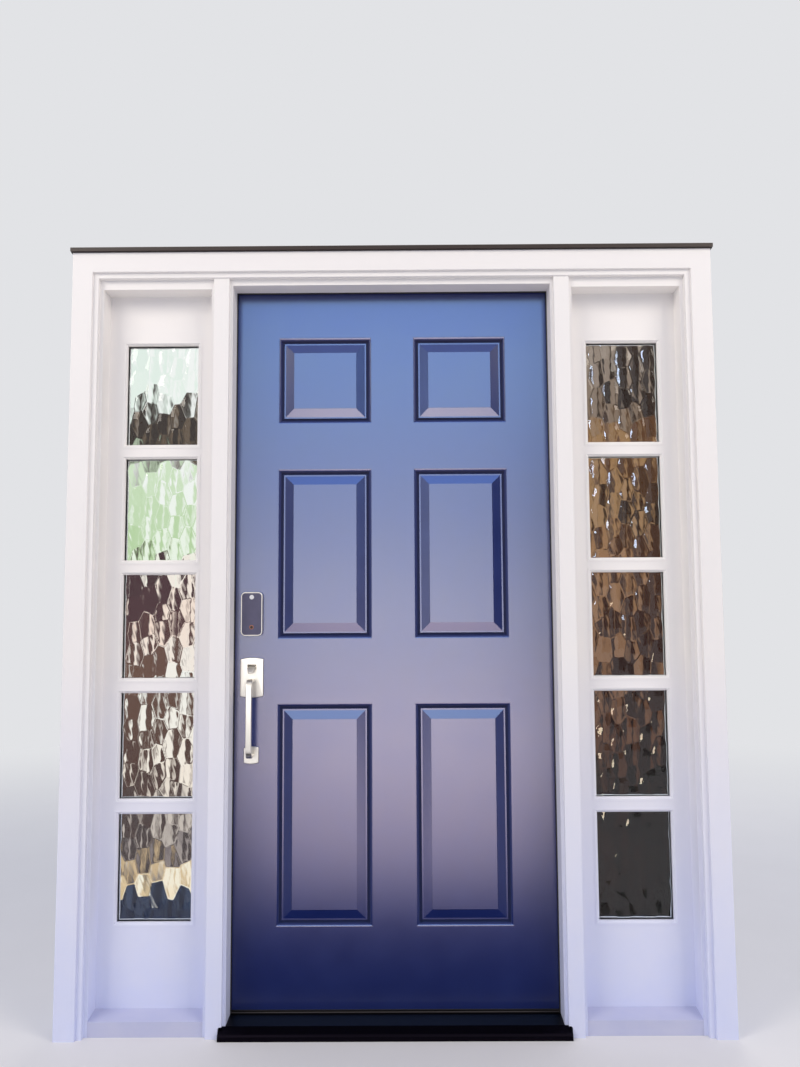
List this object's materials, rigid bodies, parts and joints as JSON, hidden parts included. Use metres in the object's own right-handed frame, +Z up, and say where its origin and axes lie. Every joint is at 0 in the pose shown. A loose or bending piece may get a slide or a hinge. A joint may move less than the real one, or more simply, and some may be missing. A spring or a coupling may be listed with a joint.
{
  "type": "panelled front door unit",
  "caption": "Hinged raised-panel front door in its frame, between glazed sidelights, with casing, threshold, keypad lock and handle set.",
  "frame": {"origin": "middle of the unit's underside, in the plane of the jambs' outer edges", "axes": "+Z up, +X to the right as seen from outside, +Y into the house"},
  "size_m": [1.8006, 0.2023, 2.1465],
  "materials": {
    "navy_paint": "satin navy paint on wood",
    "white_paint": "semi-gloss white paint on wood",
    "rippled_glass": "obscure rippled glass",
    "dark_bronze": "dark bronze anodised",
    "threshold_composite": "dark moulded cap",
    "brown_flashing": "brown coated sheet",
    "seal_rubber": "dark soft seal",
    "satin_nickel": "satin nickel",
    "keypad_face": "smoked gloss face"
  },
  "bodies": {
    "frame": {"door_threshold": "dark_bronze", "drip_cap": "brown_flashing", "head_casing": "white_paint", "head_jamb": "white_paint", "hinge_frame_plates": "satin_nickel", "hinge_jamb": "white_paint", "hinge_pins": "satin_nickel", "inner_glazing_beads": "white_paint", "left_casing": "white_paint", "left_mull_cover": "white_paint", "left_mull_jamb": "white_paint", "left_outer_jamb": "white_paint", "left_sidelight_glass": "rippled_glass", "left_sidelight_head": "white_paint", "left_sidelight_panel": "white_paint", "left_sidelight_sill": "white_paint", "outer_glazing_beads": "white_paint", "right_casing": "white_paint", "right_mull_cover": "white_paint", "right_mull_jamb": "white_paint", "right_outer_jamb": "white_paint", "right_sidelight_glass": "rippled_glass", "right_sidelight_head": "white_paint", "right_sidelight_panel": "white_paint", "right_sidelight_sill": "white_paint", "sidelight_panel_stops": "white_paint", "strike_jamb": "white_paint", "strike_plates": "satin_nickel", "threshold_cap": "threshold_composite", "weatherstrip": "seal_rubber"},
    "door": {"lock_stile": "navy_paint", "hinge_stile": "navy_paint", "bottom_rail": "navy_paint", "lock_rail": "navy_paint", "frieze_rail": "navy_paint", "top_rail": "navy_paint", "bottom_muntin": "navy_paint", "middle_muntin": "navy_paint", "top_muntin": "navy_paint", "bottom_left_panel": "navy_paint", "bottom_right_panel": "navy_paint", "middle_left_panel": "navy_paint", "middle_right_panel": "navy_paint", "top_left_panel": "navy_paint", "top_right_panel": "navy_paint", "door_sweep": "seal_rubber", "hinge_leaf_plates": "satin_nickel", "keypad_housing": "satin_nickel", "keypad_glass": "keypad_face", "interior_lock_cover": "satin_nickel", "edge_faceplates": "satin_nickel", "handle_plate": "satin_nickel", "pull_grip": "satin_nickel", "interior_rose": "satin_nickel"},
    "thumb_turn": {"thumb_turn": "satin_nickel"},
    "deadbolt": {"deadbolt": "satin_nickel"},
    "thumb_piece": {"thumb_piece": "satin_nickel"},
    "latch_bolt": {"latch_bolt": "satin_nickel"},
    "interior_lever": {"interior_lever": "satin_nickel"}
  },
  "joints": [
    {"name": "door_swing", "type": "hinge", "parent": "frame", "child": "door", "pos_m": [0.4586, 0.1226, 1.09], "axis": [0, 0, -1], "range_deg": [0, 105]},
    {"name": "thumb_turn_rotation", "type": "hinge", "parent": "door", "child": "thumb_turn", "pos_m": [-0.397, 0.142, 1.087], "axis": [0, 1, 0], "range_deg": [0, 90]},
    {"name": "deadbolt_slide", "type": "slide", "parent": "door", "child": "deadbolt", "axis": [-1, 0, 0], "range_m": [0, 0.0254]},
    {"name": "thumb_piece_pivot", "type": "hinge", "parent": "door", "child": "thumb_piece", "pos_m": [-0.397, 0.0685, 0.965], "axis": [-1, 0, 0], "range_deg": [0, 12], "stiffness_Nm_per_rad": 0.6, "springref_deg": 20.05},
    {"name": "latch_slide", "type": "slide", "parent": "door", "child": "latch_bolt", "axis": [-1, 0, 0], "range_m": [0, 0.0127]},
    {"name": "lever_rotation", "type": "hinge", "parent": "door", "child": "interior_lever", "pos_m": [-0.397, 0.126, 0.947], "axis": [0, 1, 0], "range_deg": [0, 50], "stiffness_Nm_per_rad": 2, "springref_deg": -11.46}
  ],
  "couplings": [
    {"joint": "deadbolt_slide", "follows": "thumb_turn_rotation", "m_per_rad": 0.01617},
    {"joint": "latch_slide", "follows": "thumb_piece_pivot", "m_per_rad": 0.0606}
  ]
}
